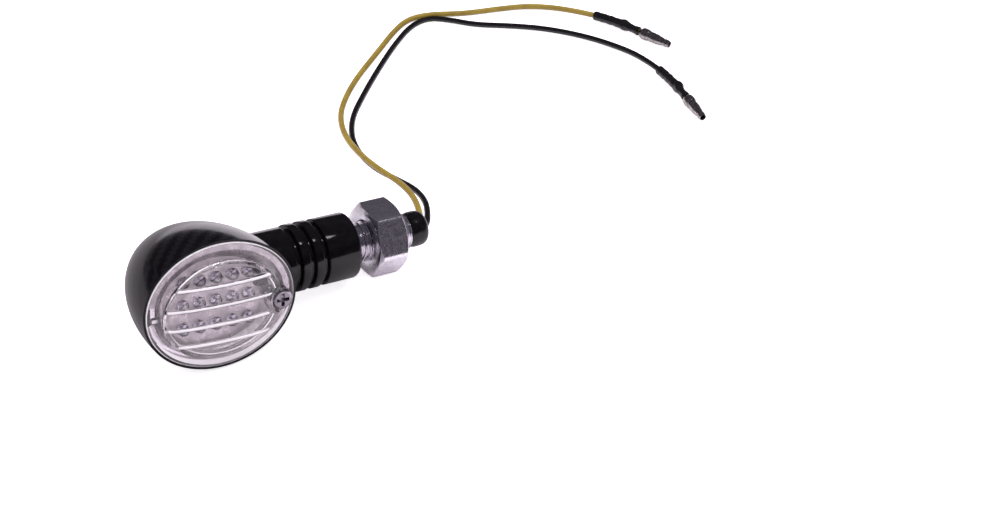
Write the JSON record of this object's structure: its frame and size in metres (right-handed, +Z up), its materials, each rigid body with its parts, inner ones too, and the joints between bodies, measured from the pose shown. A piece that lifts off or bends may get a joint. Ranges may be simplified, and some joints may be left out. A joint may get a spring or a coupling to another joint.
{
  "type": "turn signal indicator",
  "caption": "Oval motorcycle turn signal lamp on a grooved rubber stem, with a hollow threaded stud, hex nut and two wires that end in bullet terminals.",
  "frame": {"origin": "on the table, under the middle of the lamp's box without its wires", "axes": "+X is the stud's heading over the table, from the lamp head to the wires; +Z is up; the lens faces -Y and a little up"},
  "size_m": [0.1901, 0.1169, 0.0337],
  "materials": {
    "housing_plastic": "gloss",
    "clear_lens": "gloss",
    "black_rubber": "satin",
    "zinc_steel": "satin",
    "silvered_plastic": "gloss",
    "circuit_board": "matte",
    "led_epoxy": "gloss",
    "tinned_wire": "gloss",
    "solder": "satin",
    "resistor_body": "matte",
    "diode_body": "gloss",
    "yellow_insulation": "satin",
    "black_insulation": "satin",
    "black_sleeving": "satin",
    "tinned_brass": "satin"
  },
  "bodies": {
    "stem": {"rubber_stem": "black_rubber", "stud": "zinc_steel", "end_plug": "black_rubber", "yellow_wire_inner": "yellow_insulation", "black_wire_inner": "black_insulation", "yellow_wire": "yellow_insulation", "black_wire": "black_insulation", "yellow_sleeve": "black_sleeving", "black_sleeve": "black_sleeving", "yellow_terminal": "tinned_brass", "black_terminal": "tinned_brass"},
    "head": {"housing": "housing_plastic", "lens": "clear_lens", "lens_gasket": "black_rubber", "lens_screw": "zinc_steel", "reflector": "silvered_plastic", "led_board": "circuit_board", "leds": "led_epoxy", "led_leads": "tinned_wire", "solder_joints": "solder", "resistors": "resistor_body", "diode": "diode_body", "board_screws": "zinc_steel", "retaining_clip": "zinc_steel"},
    "nut": {"hex_nut": "zinc_steel"}
  },
  "joints": [
    {"name": "stem_flex", "type": "hinge", "parent": "stem", "child": "head", "pos_m": [0.00598, 0.00031, 0.01162], "axis": [0, 0, 1], "range_deg": [-20, 20], "stiffness_Nm_per_rad": 0.5, "deforming": ["rubber_stem", "yellow_wire_inner", "black_wire_inner"]},
    {"name": "nut_travel", "type": "slide", "parent": "stem", "child": "nut", "axis": [0.9925, 0, -0.1224], "range_m": [-0.0045, 0.00364]}
  ]
}
